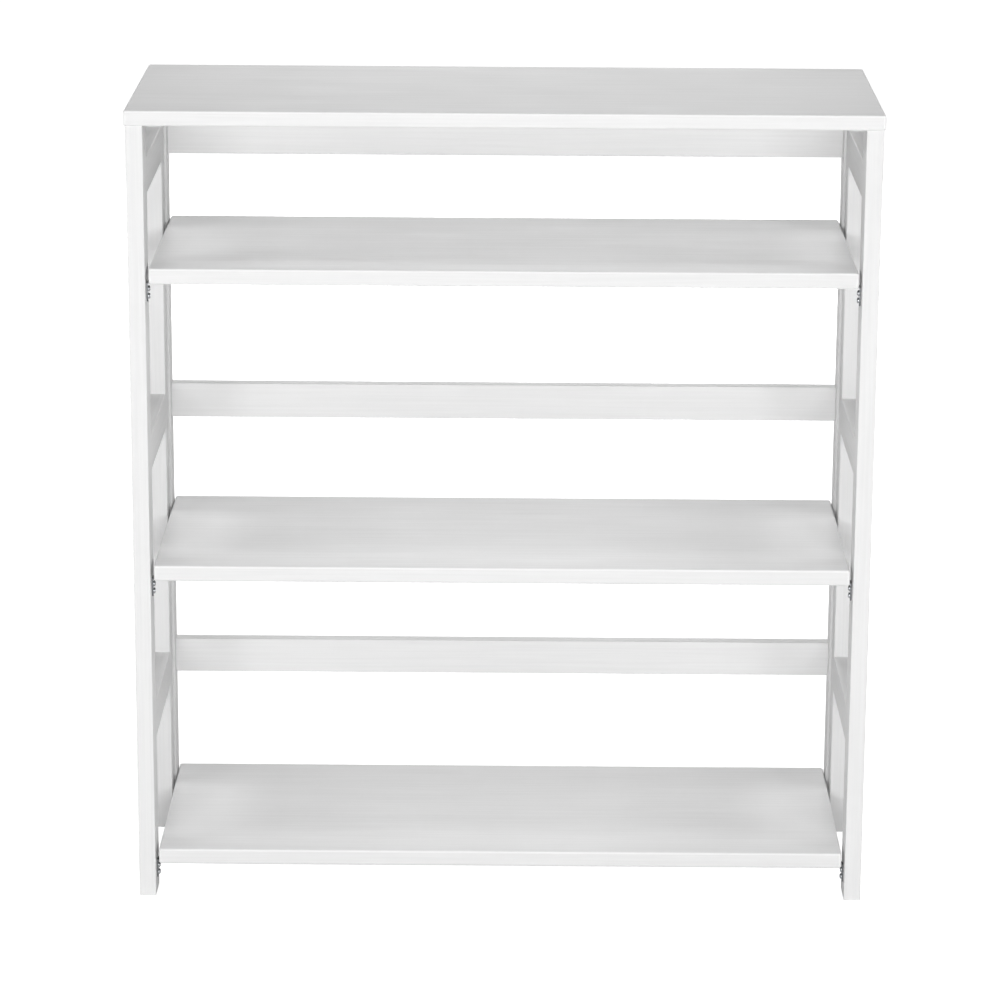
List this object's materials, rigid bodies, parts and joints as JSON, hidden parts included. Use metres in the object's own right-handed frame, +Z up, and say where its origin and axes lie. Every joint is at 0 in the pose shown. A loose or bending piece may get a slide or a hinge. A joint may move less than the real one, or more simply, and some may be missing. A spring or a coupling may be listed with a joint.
{
  "type": "folding bookcase",
  "caption": "Folding open bookcase with ladder side frames, a slatted back frame, flip-up shelves and a flip-up top board.",
  "frame": {"origin": "on the floor under the middle of the top board", "axes": "+Z up, the open front faces -Y, X runs along the shelves"},
  "size_m": [0.787, 0.298, 0.864],
  "materials": {
    "white_wood": "white satin lacquer over wood grain",
    "zinc_steel": "zinc plated"
  },
  "bodies": {
    "frame": {"back_rail_lower": "white_wood", "back_rail_middle": "white_wood", "back_rail_upper": "white_wood", "back_stile_left": "white_wood", "back_stile_right": "white_wood", "front_post_left": "white_wood", "front_post_right": "white_wood", "rear_post_left": "white_wood", "rear_post_right": "white_wood", "shelf_pin_lower_left": "zinc_steel", "shelf_pin_lower_right": "zinc_steel", "shelf_pin_middle_left": "zinc_steel", "shelf_pin_middle_right": "zinc_steel", "shelf_pin_upper_left": "zinc_steel", "shelf_pin_upper_right": "zinc_steel", "shelf_rest_lower_left": "zinc_steel", "shelf_rest_lower_right": "zinc_steel", "shelf_rest_middle_left": "zinc_steel", "shelf_rest_middle_right": "zinc_steel", "shelf_rest_upper_left": "zinc_steel", "shelf_rest_upper_right": "zinc_steel", "side_hinge_lower_left_frame_leaf": "zinc_steel", "side_hinge_lower_left_pin": "zinc_steel", "side_hinge_lower_left_side_leaf": "zinc_steel", "side_hinge_lower_right_frame_leaf": "zinc_steel", "side_hinge_lower_right_pin": "zinc_steel", "side_hinge_lower_right_side_leaf": "zinc_steel", "side_hinge_upper_left_frame_leaf": "zinc_steel", "side_hinge_upper_left_pin": "zinc_steel", "side_hinge_upper_left_side_leaf": "zinc_steel", "side_hinge_upper_right_frame_leaf": "zinc_steel", "side_hinge_upper_right_pin": "zinc_steel", "side_hinge_upper_right_side_leaf": "zinc_steel", "side_rung_lower_left": "white_wood", "side_rung_lower_right": "white_wood", "side_rung_middle_left": "white_wood", "side_rung_middle_right": "white_wood", "side_rung_upper_left": "white_wood", "side_rung_upper_right": "white_wood", "top_hinge_left_frame_leaf": "zinc_steel", "top_hinge_left_pin": "zinc_steel", "top_hinge_right_frame_leaf": "zinc_steel", "top_hinge_right_pin": "zinc_steel"},
    "top_board": {"top_board": "white_wood", "top_hinge_left_board_leaf": "zinc_steel", "top_hinge_right_board_leaf": "zinc_steel"},
    "shelf_upper": {"shelf_upper": "white_wood"},
    "shelf_middle": {"shelf_middle": "white_wood"},
    "shelf_lower": {"shelf_lower": "white_wood"}
  },
  "joints": [
    {"name": "top_board_flip", "type": "hinge", "parent": "frame", "child": "top_board", "pos_m": [0, 0.141, 0.8452], "axis": [-1, 0, 0], "range_deg": [0, 90]},
    {"name": "upper_shelf_flip", "type": "hinge", "parent": "frame", "child": "shelf_upper", "pos_m": [0, 0.1127, 0.6885], "axis": [-1, 0, 0], "range_deg": [0, 90]},
    {"name": "middle_shelf_flip", "type": "hinge", "parent": "frame", "child": "shelf_middle", "pos_m": [0, 0.1127, 0.36571], "axis": [-1, 0, 0], "range_deg": [0, 90]},
    {"name": "lower_shelf_flip", "type": "hinge", "parent": "frame", "child": "shelf_lower", "pos_m": [0, 0.1127, 0.0455], "axis": [-1, 0, 0], "range_deg": [0, 90]}
  ],
  "couplings": [
    {"joint": "upper_shelf_flip", "follows": "top_board_flip", "ratio": 1}
  ]
}
